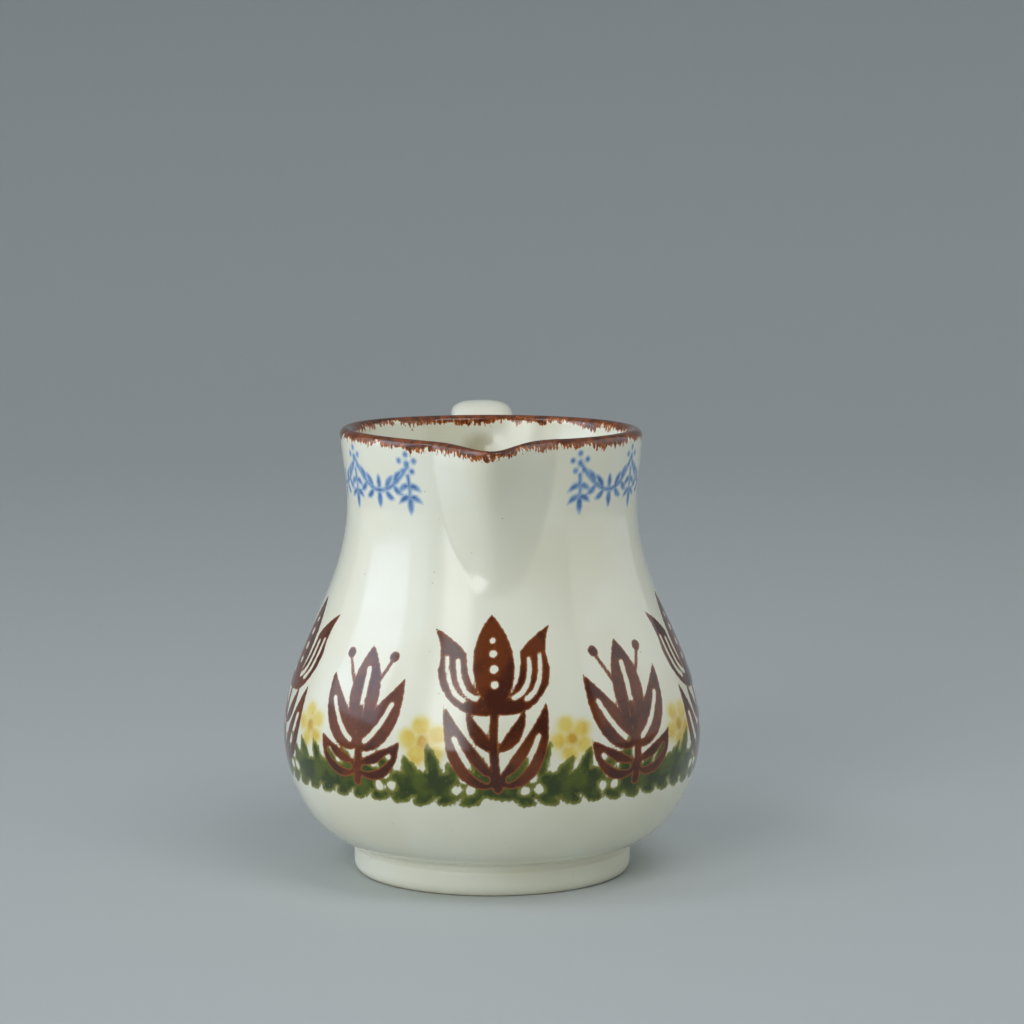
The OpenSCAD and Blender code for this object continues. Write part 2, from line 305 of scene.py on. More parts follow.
def leaf(x, y, a, b, c, half, vein=0.0, full=0.85):
    # A leaf from a to c, bent towards b, with a bare line along its middle if it has a vein
    t = np.linspace(0, 1, brush["leafSteps"])
    halves = half * np.sin(np.pi * t ** full) ** brush["leafTaper"]
    field = stroke(x, y, bent(a, b, c, count=brush["leafSteps"]), halves)
    if vein:
        halves = np.linspace(vein, vein * brush["veinTaper"], brush["steps"])
        bare = stroke(x, y, bent(a, b, c, brush["veinStart"], brush["veinEnd"]), halves)
        field = np.maximum(field, -bare)
    return field


def dot(x, y, cx, cy, r):
    return np.hypot(x - cx, y - cy) - r


def tulip(x, y):
    field = line(x, y, (0, -1), (-1.4, 8), (0, 18), 1.15, 0.95)
    for hand in (-1, 1):
        field = np.minimum(field, leaf(x, y, (0, 0.5), (hand * 8.0, 1.5), (hand * 11.4, 18.0), 3.4, 0.68))
        field = np.minimum(field, leaf(x, y, (0, 7.5), (hand * 5.0, 10), (hand * 6.4, 17), 1.6))
    # The outer petals open outwards, each with two bare lines
    bloom = dot(x, y, 0, 19.0, 3.4)
    for hand in (-1, 1):
        lower = bent((hand * 0.5, 17), (hand * 7.5, 17.5), (hand * 8.2, 25.0), count=9)
        upper = bent((hand * 8.2, 25.0), (hand * 8.6, 30.5), (hand * 12.6, 35.0), count=9)
        petal = stroke(x, y, np.vstack([lower[:-1], upper]),
                       np.concatenate([np.linspace(1.6, 4.3, 8), np.linspace(4.3, 0.15, 9)]))
        bare = line(x, y, (hand * 4.2, 19.2), (hand * 8.2, 20.4), (hand * 7.8, 27.8), 0.6, 0.46)
        bare = np.minimum(bare, line(x, y, (hand * 7.0, 18.8), (hand * 10.8, 20.8),
                                     (hand * 10.2, 28.6), 0.56, 0.42))
        bloom = np.minimum(bloom, np.maximum(petal, -bare))
    around = leaf(x, y, (0, 18.5), (0, 27), (0, 40.0), 5.9, full=0.95)
    bloom = np.minimum(np.maximum(bloom, -around), leaf(x, y, (0, 16), (0, 26), (0, 38.2), 4.6, full=0.95))
    for height, r in ((22.2, 0.85), (25.6, 0.95), (29.2, 0.85), (32.2, 0.65)):
        bloom = np.maximum(bloom, -dot(x, y, 0, height, r))
    return np.minimum(field, bloom)


def sprig(x, y):
    field = line(x, y, (0, -1), (1.2, 7), (0, 15), 1.1, 0.95)
    field = np.minimum(field, leaf(x, y, (0, 10), (0.8, 19), (0, 29.5), 4.1, 0.66))
    for hand in (-1, 1):
        field = np.minimum(field, leaf(x, y, (0, 7), (hand * 6.8, 9.5), (hand * 10.2, 22.8), 3.6, 0.62))
        field = np.minimum(field, leaf(x, y, (0, 2.5), (hand * 6.6, 0.6), (hand * 11.2, 8.8), 3.0, 0.64))
        field = np.minimum(field, dot(x, y, hand * 6.2, 27.2, 1.25))
        field = np.minimum(field, line(x, y, (hand * 1.2, 17), (hand * 3.8, 21.5),
                                       (hand * 6.0, 26.4), 0.5, 0.45))
    return field


def fiveDots(x, y, cy, middle, spread, r):
    # A dot with five others round it
    field = dot(x, y, 0, cy, middle)
    for k in range(5):
        a = math.radians(90 + 72 * k)
        field = np.minimum(field, dot(x, y, spread * math.cos(a), cy + spread * math.sin(a), r))
    return field


def blossom(x, y):
    return fiveDots(x, y, 0, 2.2, 3.3, 2.6)


def blossomHeart(x, y):
    return dot(x, y, 0, 0, 1.5)


def swag(x, y, half):
    # A hanging line with leaves in pairs and a bud at its lowest point
    hung = ((-half, 9.8), (0, -2.2), (half, 9.8))
    field = line(x, y, *hung, 0.62, 0.58)
    for t in (0.24, 0.38, 0.62, 0.76):
        px, py = bent(*hung, t, t, 1)[0]
        outward = 1 if t > 0.5 else -1
        for up in (-1, 1):
            tip = (px + outward * 2.8, py + up * 2.7 + 0.7)
            field = np.minimum(field, leaf(x, y, (px, py), (px + outward * 0.6, py + up * 1.9), tip, 0.85))
    px, py = bent(*hung, 0.5, 0.5, 1)[0]
    field = np.minimum(field, leaf(x, y, (px, py), (px, py - 2), (px, py - 4.0), 0.95))
    return np.minimum(field, leaf(x, y, (px, py), (px, py + 2), (px, py + 3.8), 0.85))


def tassel(x, y):
    # A flower of five dots over a hanging spray
    field = fiveDots(x, y, 10.2, 0.85, 2.05, 0.8)
    field = np.minimum(field, line(x, y, (0, 7.6), (0.3, 5), (0, 2.4), 0.62, 0.55))
    for hand in (-1, 1):
        for height in (5.4, 2.9):
            field = np.minimum(field, leaf(x, y, (0, height), (hand * 1.3, height + 0.2),
                                           (hand * 3.3, height - 1.6), 0.82))
    return np.minimum(field, leaf(x, y, (0, 3), (0, 1.2), (0, -1.3), 0.95))


def berries(x, y):
    # Three small dots that are left bare in the garland
    return np.minimum.reduce([dot(x, y, cx, cy, 1.05) for cx, cy in ((-1.5, 3.2), (1.5, 3.4), (0.1, 5.9))])


# Heights in mm and angles in degrees from the spout. Pairs are the limits of a random draw, and
# each reach says how far a motif goes to the sides, down and up from its 0, 0. A wave has a
# height, a count round the pot and a start
art = {
    "tulips": [0, 80, -80, 160, -160],
    "sprigs": [40, -40, 120, -120],
    "brownBase": 28.0, "brownReach": (18, 4, 43), "brownTilt": (-0.035, 0.035), "brownSize": (0.97, 1.03),
    "blossoms": [20, -20, 60, -60, 100, -100, 140, -140, 180],
    "blossomZ": 36.8, "blossomShift": (-0.8, 0.8), "blossomReach": (9, 9, 9),
    "blossomTilt": (-0.6, 0.6), "blossomSize": (0.92, 1.08),
    "bandBase": 23.6, "bandLeaves": 56, "bandMiddle": 4.2, "bandHalf": 3.1,
    "bandWaves": [(0.35, 11, 0), (0.25, 23, 1)],
    "tallLeaf": (11.0, 14.5), "shortLeaf": (8.5, 11.0), "leafAside": (2.4, 4.6), "leafLow": (-0.5, 0.5),
    "leafHalf": 1.9, "leafReach": (9, 3, 17),
    "berries": [9, -9, 31, -31, 71, -71, 111, -111, 151, -151],
    "berryReach": (9, 3, 12),
    "blueBase": 84.6, "blueStart": 34.0, "blueEnd": 160.0, "swags": 4, "swagReach": (14, 3, 15),
    "tasselReach": (6, 3, 15), "tasselTilt": (-0.05, 0.05),
    "lipOutside": 2.9, "lipInside": 2.6,
    "lipWaves": [(0.3, 5, 0.5), (0.25, 13, 0), (0.2, 29, 2)],
}

wallRows = slice(firstOuter, firstLip)
wallShape = (firstLip - firstOuter, columns)
wallTheta = np.broadcast_to(theta, wallShape)
wallRadius = np.broadcast_to(rowR[wallRows, None], wallShape)
wallArc = np.broadcast_to(np.interp(rowZ[wallRows], outerLine[:, 1], outerArc)[:, None], wallShape)


def arcAt(z):
    # Length along the wall up to a height
    return float(np.interp(z, outerLine[:, 1], outerArc))


def lay(field, motif, angle, base, reach, tilt=0.0, size=1.0):
    # Lays a motif on the wall at an angle from the spout, its 0, 0 at a length along the wall
    across = np.angle(np.exp(1j * (wallTheta - math.radians(angle)))) * wallRadius
    up = wallArc - base
    near = (abs(across) < reach[0]) & (up > -reach[1]) & (up < reach[2])
    c, s = math.cos(tilt) / size, math.sin(tilt) / size
    x, y = across[near], up[near]
    field[near] = np.minimum(field[near], motif(c * x + s * y, c * y - s * x) * size)


def waved(angle, waves):
    # A sum of waves round the pot
    return sum(tall * np.sin(count * angle + start) for tall, count, start in waves)


brown, blue, yellow, heart, holes = (np.full(wallShape, far) for k in range(5))

for motif, angles in ((tulip, art["tulips"]), (sprig, art["sprigs"])):
    for angle in angles:
        lay(brown, motif, angle, arcAt(art["brownBase"]), art["brownReach"],
            tilt=random.uniform(*art["brownTilt"]), size=random.uniform(*art["brownSize"]))

for angle in art["blossoms"]:
    size = random.uniform(*art["blossomSize"])
    tilt = random.uniform(*art["blossomTilt"])
    base = arcAt(art["blossomZ"] + random.uniform(*art["blossomShift"]))
    lay(yellow, blossom, angle, base, art["blossomReach"], tilt, size)
    lay(heart, blossomHeart, angle, base, art["blossomReach"], tilt, size)

# A garland of leaves that lean away from the spout
bandArc = arcAt(art["bandBase"])
bandRise = wallArc - bandArc - art["bandMiddle"] + waved(wallTheta, art["bandWaves"])
green = np.minimum(far, abs(bandRise) - art["bandHalf"])
for k in range(art["bandLeaves"]):
    angle = 360 * (k + 0.5) / art["bandLeaves"] - 180
    lean = 1 if angle > 0 else -1
    tall = random.uniform(*art["tallLeaf" if k % 2 else "shortLeaf"])
    leanBy = random.uniform(*art["leafAside"])
    low = random.uniform(*art["leafLow"])

    def leafPair(x, y):
        upper = leaf(x, y, (0, 3), (lean * 0.4, tall * 0.6), (lean * leanBy, tall), art["leafHalf"])
        lower = leaf(x, y, (0, 4), (lean * 3.0, 0.8), (lean * 5.8, low), art["leafHalf"])
        return np.minimum(upper, lower)

    lay(green, leafPair, angle, bandArc, art["leafReach"])
for angle in art["berries"]:
    lay(holes, berries, angle, bandArc, art["berryReach"])
green = np.maximum(green, -holes)

# Swags on each side of the neck, with a tassel at each of their ends
blueArc = arcAt(art["blueBase"])
span = (art["blueEnd"] - art["blueStart"]) / art["swags"]
swagHalf = math.radians(span) * pot["neckR"] / 2
for hand in (-1, 1):
    for k in range(art["swags"] + 1):
        angle = hand * (art["blueStart"] + span * k)
        lay(blue, tassel, angle, blueArc, art["tasselReach"], tilt=random.uniform(*art["tasselTilt"]))
        if k < art["swags"]:
            lay(blue, lambda x, y: swag(x, y, swagHalf), angle + hand * span / 2, blueArc, art["swagReach"])

slipFields = np.full((len(rows), columns, 3), far)
for k, field in enumerate((brown, green, blue)):
    slipFields[wallRows, :, k] = np.clip(field, -far, far)
edgeFields = np.full((len(rows), columns, 3), far)
edgeFields[wallRows, :, 0] = np.clip(yellow, -far, far)
edgeFields[wallRows, :, 1] = np.clip(heart, -far, far)
sponged = np.where(fromLip > 0, fromLip - art["lipOutside"], -fromLip - art["lipInside"])
edgeFields[..., 2] = np.clip(sponged[:, None] + waved(theta, art["lipWaves"]), -far, far)


def giveField(piece, name, values):
    # Keeps three distances at each point of a piece, and nothing at its two poles
    made = piece.data.attributes.new(name, "FLOAT_VECTOR", "POINT")
    poles = np.full((2, 3), far)
    made.data.foreach_set("vector", np.vstack([values.reshape(-1, 3), poles]).astype(np.float32).ravel())


giveField(potPiece, "slipFields", slipFields)
giveField(potPiece, "edgeFields", edgeFields)
print("drawing: laid on", wallShape[0] * columns, "points")

# Foot ring
foot = {
    "outerR": 31.2, "innerR": 24.8,
    # Half axes of the rounded edges: inside and outside at the bottom, and at the shoulder
    "innerEdge": (1.1, 1.1), "lowEdge": (1.7, 2.5), "shoulder": (1.2, 1.5), "shoulderZ": 4.6,
    # Glaze in the corner under the belly
    "valleyR": 31.6, "valleyZ": 6.3, "valley": (1.0, 1.0),
    # Between which directions in degrees the shoulder and the glaze in the corner bend
    "shoulderTurn": (0, 40), "valleyTurn": (222, 92),
    # Rows between the rounded edges, and those out of sight over the ring's top
    "standR": (27.0, 28.0, 29.0), "sideZ": (3.2, 3.9), "innerZ": (6.6, 4.0),
    "coverR": (30.6, 27.0), "coverZ": 7.7,
    "arcRows": 8,
    # The face that it stands on is wiped bare up to about this height, with a wandering limit
    "bareZ": 0.35, "glazedZ": 0.55, "bareWander": 0.4, "bareGrain": 0.5,
    "bareTone": (206, 188, 156), "bareRoughness": 0.85,
    "coatRoughness": 0.5, "specks": 0.3,
}


def oval(r, z, axes, first, last):
    # A part of an oval, from one direction to another
    a = np.radians(np.linspace(first, last, foot["arcRows"]))
    return np.column_stack([r + axes[0] * np.cos(a), z + axes[1] * np.sin(a)])


footRows = np.vstack([
    [[foot["innerR"], z] for z in foot["innerZ"]],
    oval(foot["innerR"] + foot["innerEdge"][0], foot["innerEdge"][1], foot["innerEdge"], 180, 270),
    [[r, 0.0] for r in foot["standR"]],
    oval(foot["outerR"] - foot["lowEdge"][0], foot["lowEdge"][1], foot["lowEdge"], 270, 360),
    [[foot["outerR"], z] for z in foot["sideZ"]],
    oval(foot["outerR"] - foot["shoulder"][0], foot["shoulderZ"], foot["shoulder"], *foot["shoulderTurn"]),
    oval(foot["valleyR"], foot["valleyZ"], foot["valley"], *foot["valleyTurn"]),
    [[r, foot["coverZ"]] for r in foot["coverR"]],
])
footPoints = turned(footRows[:, 0], footRows[:, 1]).reshape(-1, 3) * mm
footPiece = newPiece("footRing", footPoints.tolist(), ringFaces(len(footRows), columns, closed=True))
print("foot ring:", len(footPiece.data.polygons), "faces")

# Strap handle, with its two luted roots
strap = {
    "topW": 14.8, "lowW": 11.6, "topT": 7.2, "lowT": 5.8, "backY": 66.0,
    "topZ": 89.5, "backZ": 79.0, "lowZ": 42.5, "topLift": 38.0, "lowLift": 30.0,
    "jointT": 4.6, "rootFlare": 2.3,
    # Reach of the handles of its two curves, as shares of their runs
    "topArm": 0.54, "crestArm": 0.91, "backArm": 0.58, "lowArm": 0.8,
    "square": 2.7, "around": 56, "along": 70, "rootRings": 14,
    # How deep a root sinks into the wall, and the hidden hem beyond it: outwards and inwards
    "sink": 0.05, "hemOut": 0.4, "hemIn": 1.0,
    "seatTries": 12, "slopeStep": 0.01,
    "shift": -1.4, "shiftPower": 0.5,  # the crest stands a little off the middle
}


def wayOf(lift):
    # Direction away from the axis and up, from its angle over the level
    return np.array([math.cos(math.radians(lift)), math.sin(math.radians(lift))])


def strapEnd(z, lift):
    # Where the strap leaves its root
    return np.array([float(wallR(z)), z]) + strap["jointT"] * wayOf(lift)


def cubic(p, t):
    # Points of a curve with four handles
    t = np.asarray(t)[:, None]
    return ((1 - t) ** 3 * p[0] + 3 * (1 - t) ** 2 * t * p[1]
            + 3 * (1 - t) * t ** 2 * p[2] + t ** 3 * p[3])


topEnd = strapEnd(strap["topZ"], strap["topLift"])
lowEnd = strapEnd(strap["lowZ"], strap["lowLift"])
back = np.array([strap["backY"] - (strap["topT"] + strap["lowT"]) / 4, strap["backZ"]])
topRun, lowRun, lowFall = back[0] - topEnd[0], back[0] - lowEnd[0], back[1] - lowEnd[1]
topCurve = [topEnd, topEnd + topRun * strap["topArm"] * wayOf(strap["topLift"]),
            back + np.array([0, topRun * strap["crestArm"]]), back]
lowCurve = [back, back - np.array([0, lowFall * strap["backArm"]]),
            lowEnd + lowRun * strap["lowArm"] * wayOf(strap["lowLift"]), lowEnd]
t = np.linspace(0, 1, strap["along"])
centre = np.vstack([cubic(topCurve, t), cubic(lowCurve, t[1:])])
share = np.concatenate([t / 2, 0.5 + t[1:] / 2])
way = np.gradient(centre, axis=0)
way[0], way[-1] = wayOf(strap["topLift"]), -wayOf(strap["lowLift"])
way /= np.linalg.norm(way, axis=1)[:, None]
widths = strap["topW"] + (strap["lowW"] - strap["topW"]) * ease(share)
depths = strap["topT"] + (strap["lowT"] - strap["topT"]) * ease(share)

a = 2 * np.pi * np.arange(strap["around"]) / strap["around"]
across = np.sign(np.cos(a)) * abs(np.cos(a)) ** (2 / strap["square"]) / 2
outward = np.sign(np.sin(a)) * abs(np.sin(a)) ** (2 / strap["square"]) / 2
strapRings = np.stack([
    widths[:, None] * across,
    centre[:, 0, None] - way[:, 1, None] * depths[:, None] * outward,
    centre[:, 1, None] + way[:, 0, None] * depths[:, None] * outward,
], axis=-1)


def wallGap(p):
    # How far a point stands outside the wall
    return np.hypot(p[:, 0], p[:, 1]) - wallR(p[:, 2])


def rootRings(ring, run):
    # A flared root from an end of the strap, which meets the wall along its surface
    run = np.array([0, run[0], run[1]])
    reach = np.full(len(ring), strap["jointT"])
    for k in range(strap["seatTries"]):
        reach = reach + wallGap(ring + reach[:, None] * run) / abs(run[1])
    met = ring + reach[:, None] * run
    step = strap["slopeStep"]
    slope = (wallR(met[:, 2] + step) - wallR(met[:, 2] - step)) / (2 * step)
    normal = np.column_stack([met[:, 0], met[:, 1], -slope * np.hypot(met[:, 0], met[:, 1])])
    normal /= np.linalg.norm(normal, axis=1)[:, None]
    away = ring - ring.mean(axis=0)
    away -= (away * normal).sum(axis=1)[:, None] * normal
    away /= np.linalg.norm(away, axis=1)[:, None]
    turns = np.linspace(0, np.pi / 2, strap["rootRings"])[1:]
    made = [ring + reach[:, None] * run * math.sin(b) + away * strap["rootFlare"] * (1 - math.cos(b))
            for b in turns]
    last = made[-1]
    made[-1] = last - normal * (wallGap(last)[:, None] + strap["sink"])
    return made + [made[-1] + away * strap["hemOut"] - normal * strap["hemIn"]]


topRoot = rootRings(strapRings[0], -wayOf(strap["topLift"]))
lowRoot = rootRings(strapRings[-1], -wayOf(strap["lowLift"]))
strapSkin = np.stack(topRoot[::-1] + list(strapRings) + lowRoot)
shiftShare = np.sin(np.pi * np.linspace(0, 1, len(strapSkin))).clip(0) ** strap["shiftPower"]
strapSkin[..., 0] += strap["shift"] * shiftShare[:, None]
strapPiece = closedMesh("strapHandle", strapSkin, strapSkin[0].mean(axis=0), strapSkin[-1].mean(axis=0))
print("strap handle:", len(strapPiece.data.polygons), "faces")

# Materials


def colour(red, greenPart, bluePart):
    # A colour as a screen shows it, from 0 to 255, made linear
    def linear(v):
        v = v / 255
        return v / 12.92 if v <= 0.04045 else ((v + 0.055) / 1.055) ** 2.4
    return (linear(red), linear(greenPart), linear(bluePart), 1.0)


def feed(tree, made, inputs):
    # Links or sets each input of a node
    for socket, value in inputs.items():
        if isinstance(value, bpy.types.NodeSocket):
            tree.links.new(value, made.inputs[socket])
        else:
            made.inputs[socket].default_value = value


def addNode(tree, kind, inputs=None, **settings):
    made = tree.nodes.new("ShaderNode" + kind)
    for name, value in settings.items():
        setattr(made, name, value)
    feed(tree, made, inputs or {})
    return made


def parts(tree, vector):
    return addNode(tree, "SeparateXYZ", {0: vector}).outputs


def ownPlace(tree):
    # Place on the piece, in metres
    return addNode(tree, "TexCoord").outputs["Object"]


def calc(tree, operation, *values):
    return addNode(tree, "Math", dict(enumerate(values)), operation=operation).outputs[0]


def between(tree, value, low, high, fromValue=0.0, toValue=1.0):
    # From one value to another as the input goes from low to high, eased at both ends
    inputs = {"Value": value, "From Min": low, "From Max": high, "To Min": fromValue, "To Max": toValue}
    return addNode(tree, "MapRange", inputs, interpolation_type="SMOOTHSTEP").outputs[0]


def mixed(tree, share, first, second):
    return addNode(tree, "Mix", {0: share, 6: first, 7: second}, data_type="RGBA").outputs[2]


def noise(tree, scale, detail=2.0, stretch=(1, 1, 1), shift=0.0):
    # Noise fixed to the piece; the scale is in features per mm
    inputs = {"Vector": ownPlace(tree), "Location": (shift, shift, shift),
              "Scale": tuple(part / mm for part in stretch)}
    place = addNode(tree, "Mapping", inputs).outputs[0]
    return addNode(tree, "TexNoise", {"Vector": place, "Scale": scale, "Detail": detail}).outputs[0]


def newGroup(name, inputs, outputs):
    group = bpy.data.node_groups.new(name, "ShaderNodeTree")
    for title, kind, value in inputs:
        socket = group.interface.new_socket(title, in_out="INPUT", socket_type="NodeSocket" + kind)
        socket.default_value = value
    for title, kind in outputs:
        group.interface.new_socket(title, in_out="OUTPUT", socket_type="NodeSocket" + kind)
    return group, group.nodes.new("NodeGroupInput").outputs, group.nodes.new("NodeGroupOutput").inputs


def placed(tree, group, inputs):
    made = tree.nodes.new("ShaderNodeGroup")
    made.node_tree = group
    feed(tree, made, inputs)
    return made.outputs


# Scales of noise in features per mm, values of it between which an effect sets in, and shares
glaze = {
    "cream": colour(231, 231, 212), "drift": colour(226, 224, 201), "driftScale": 0.045,
    "driftFrom": 0.38, "driftTo": 0.66,
    "speck": colour(165, 140, 100), "speckScale": 1.3, "speckFrom": 0.87, "speckTo": 0.9, "specks": 0.5,
    "swellScale": 0.07, "rippleScale": 0.5, "ripples": 0.12, "unevenness": 0.35, "bumpDepth": 0.4,
    "roughness": 0.38, "ior": 1.5, "specular": 0.05, "coatRoughness": 0.11, "coatIor": 1.52,
}
sponge = {
    "waverDetail": 3.0, "hairScale": 1.5, "hairStretch": (1, 1, 0.42),
    "dabScale": 0.5, "dabs": 0.7,
    "patchSpread": 0.12, "thinEnd": 0.1,
    "fleckScale": 1.6, "fleckFrom": 0.62, "fleckTo": 0.72, "flecks": 0.35,
}

# How far a slip covers the glaze, with an edge that wanders as a sponge leaves it
slipEdge, given, out = newGroup(
    "slipEdge",
    [("Field", "Float", 1.0), ("Wander", "Float", 0.3), ("Grain", "Float", 0.7),
     ("Softness", "Float", 0.2), ("Hairs", "Float", 0.0)],
    [("Cover", "Float"), ("Depth", "Float")])
waver = calc(slipEdge, "SUBTRACT", noise(slipEdge, given["Grain"], sponge["waverDetail"]), 0.5)
hairs = noise(slipEdge, sponge["hairScale"], sponge["waverDetail"], sponge["hairStretch"])
hairs = calc(slipEdge, "SUBTRACT", hairs, 0.5)
dabs = calc(slipEdge, "SUBTRACT", noise(slipEdge, sponge["dabScale"], shift=13.0), 0.5)
hairs = calc(slipEdge, "MULTIPLY_ADD", dabs, sponge["dabs"], hairs)
moved = given["Field"]
for strength, sway in ((given["Wander"], waver), (given["Hairs"], hairs)):
    moved = calc(slipEdge, "MULTIPLY_ADD", sway, calc(slipEdge, "MULTIPLY", strength, 2.0), moved)
cover = between(slipEdge, moved, given["Softness"], calc(slipEdge, "MULTIPLY", given["Softness"], -1.0))
slipEdge.links.new(cover, out["Cover"])
slipEdge.links.new(calc(slipEdge, "MULTIPLY", moved, -1.0), out["Depth"])

# Colour of a slip: thin at its edge, mottled and deeper where it lies thick
slipTone, given, out = newGroup(
    "slipTone",
    [("Depth", "Float", 1.0), ("Thin", "Color", colour(160, 90, 50)),
     ("Middle", "Color", colour(120, 50, 20)), ("Deep", "Color", colour(80, 28, 5)),
     ("Patches", "Float", 0.25), ("Edge", "Float", 0.5), ("Balance", "Float", 0.5)],
    [("Color", "Color")])
patches = noise(slipTone, given["Patches"], 3.0, shift=3.0)
lowPatch = calc(slipTone, "SUBTRACT", given["Balance"], sponge["patchSpread"])
highPatch = calc(slipTone, "ADD", given["Balance"], sponge["patchSpread"])
tone = mixed(slipTone, between(slipTone, patches, lowPatch, highPatch), given["Middle"], given["Deep"])
thinEnd = calc(slipTone, "MULTIPLY", given["Edge"], sponge["thinEnd"])
tone = mixed(slipTone, between(slipTone, given["Depth"], given["Edge"], thinEnd), tone, given["Thin"])
fleck = noise(slipTone, sponge["fleckScale"], shift=7.0)
fleck = between(slipTone, fleck, sponge["fleckFrom"], sponge["fleckTo"])
tone = mixed(slipTone, calc(slipTone, "MULTIPLY", fleck, sponge["flecks"]), tone, given["Thin"])
slipTone.links.new(tone, out["Color"])

# Clear glaze over the cream body: slow drifts of tint, rare specks and a slightly uneven surface
glazeTint, given, out = newGroup(
    "glazeTint",
    [("Cream", "Color", colour(228, 226, 208)), ("Drift", "Color", colour(221, 218, 196)),
     ("Specks", "Float", 0.5)],
    [("Color", "Color"), ("Height", "Float")])
drift = noise(glazeTint, glaze["driftScale"])
drift = between(glazeTint, drift, glaze["driftFrom"], glaze["driftTo"])
cream = mixed(glazeTint, drift, given["Cream"], given["Drift"])
speck = noise(glazeTint, glaze["speckScale"], 0.0, shift=11.0)
speck = between(glazeTint, speck, glaze["speckFrom"], glaze["speckTo"])
cream = mixed(glazeTint, calc(glazeTint, "MULTIPLY", speck, given["Specks"]), cream, glaze["speck"])
glazeTint.links.new(cream, out["Color"])
swell = noise(glazeTint, glaze["swellScale"], 1.0, shift=5.0)
ripple = noise(glazeTint, glaze["rippleScale"], 1.0, shift=9.0)
glazeTint.links.new(calc(glazeTint, "MULTIPLY_ADD", ripple, glaze["ripples"], swell), out["Height"])

# For each slip its tones at the thin edge, in the middle and where it lies deep, then the size of
# patches, width of the thin edge, balance of the tones, and the edge's wander, grain, softness, hairs
slips = {
    "brown": ((138, 75, 28), (103, 45, 2), (68, 23, 0), 0.12, 0.5, 0.48, 0.22, 0.8, 0.14, 0.1),
    "green": ((124, 124, 44), (75, 88, 14), (43, 58, 3), 0.2, 1.1, 0.49, 0.4, 0.6, 0.25, 0.5),
    "blue": ((158, 182, 206), (106, 140, 180), (74, 108, 156), 0.35, 0.66, 0.5, 0.16, 0.9, 0.34, 0.0),
    "yellow": ((226, 215, 152), (222, 200, 104), (214, 182, 78), 0.22, 1.6, 0.5, 0.9, 0.35, 0.9, 0.0),
    "heart": ((212, 180, 84), (204, 166, 64), (196, 154, 54), 0.3, 0.6, 0.5, 0.7, 0.5, 0.8, 0.0),
    "lip": ((176, 101, 40), (124, 60, 10), (74, 30, 0), 0.42, 0.9, 0.5, 0.5, 0.5, 0.15, 2.0),
}


def newMaterial(name):
    made = bpy.data.materials.new(name)
    made.use_nodes = True
    tree = made.node_tree
    shader = tree.nodes["Principled BSDF"]
    shader.inputs["Roughness"].default_value = glaze["roughness"]
    shader.inputs["IOR"].default_value = glaze["ior"]
    # The body under the glaze hardly shines
    shader.inputs["Specular IOR Level"].default_value = glaze["specular"]
    shader.inputs["Coat Weight"].default_value = 1.0
    shader.inputs["Coat Roughness"].default_value = glaze["coatRoughness"]
    shader.inputs["Coat IOR"].default_value = glaze["coatIor"]
    return made, tree, shader


def glazeBase(tree, shader, specks=glaze["specks"]):
    # Joins the uneven surface to the shader and gives the tint
    found = placed(tree, glazeTint, {"Cream": glaze["cream"], "Drift": glaze["drift"], "Specks": specks})
    bump = addNode(tree, "Bump", {"Height": found["Height"], "Strength": glaze["unevenness"],
                                  "Distance": glaze["bumpDepth"] * mm})
    tree.links.new(bump.outputs[0], shader.inputs["Normal"])
    return found["Color"]


def slipOver(tree, under, field, kind):
    # Lays one slip over what is under it
    thin, middle, deep, patchSize, edge, balance, wander, grain, softness, hairs = slips[kind]
    found = placed(tree, slipEdge, {"Field": field, "Wander": wander, "Grain": grain,
                                    "Softness": softness, "Hairs": hairs})
    tone = placed(tree, slipTone, {
        "Depth": found["Depth"], "Thin": colour(*thin), "Middle": colour(*middle), "Deep": colour(*deep),
        "Patches": patchSize, "Edge": edge, "Balance": balance})
    return mixed(tree, found["Cover"], under, tone["Color"])


# The glaze in the thumb dent is tinted tan, partly where it ran thin and partly as painted shade of the
# dent: radii in mm, from a point inside the wall
thumbTintAndShade = {"tone": colour(172, 156, 112), "strength": 0.8, "outerR": 6.2, "innerR": 2.4, "inside": 2.6}

potGlaze, tree, shader = newMaterial("potGlaze")
surface = glazeBase(tree, shader)
drawn, edges = (parts(tree, addNode(tree, "Attribute", attribute_name=name).outputs["Vector"])
                for name in ("slipFields", "edgeFields"))
markY = pot["neckR"] - pot["wall"] - thumbTintAndShade["inside"]
markAt = (pot["thumbX"] * mm, markY * mm, pot["thumbZ"] * mm)
away = addNode(tree, "VectorMath", {0: ownPlace(tree), 1: markAt}, operation="DISTANCE").outputs["Value"]
# Painted shade with a tan tint, strongest at the middle of the thumb dent
tintAndShade = between(tree, away, thumbTintAndShade["outerR"] * mm, thumbTintAndShade["innerR"] * mm, 0.0, thumbTintAndShade["strength"])
surface = mixed(tree, tintAndShade, surface, thumbTintAndShade["tone"])
for field, kind in ((edges[0], "yellow"), (edges[1], "heart"), (drawn[1], "green"),
                    (drawn[0], "brown"), (drawn[2], "blue"), (edges[2], "lip")):
    surface = slipOver(tree, surface, field, kind)
tree.links.new(surface, shader.inputs["Base Color"])

strapGlaze, tree, shader = newMaterial("strapGlaze")
tree.links.new(glazeBase(tree, shader), shader.inputs["Base Color"])

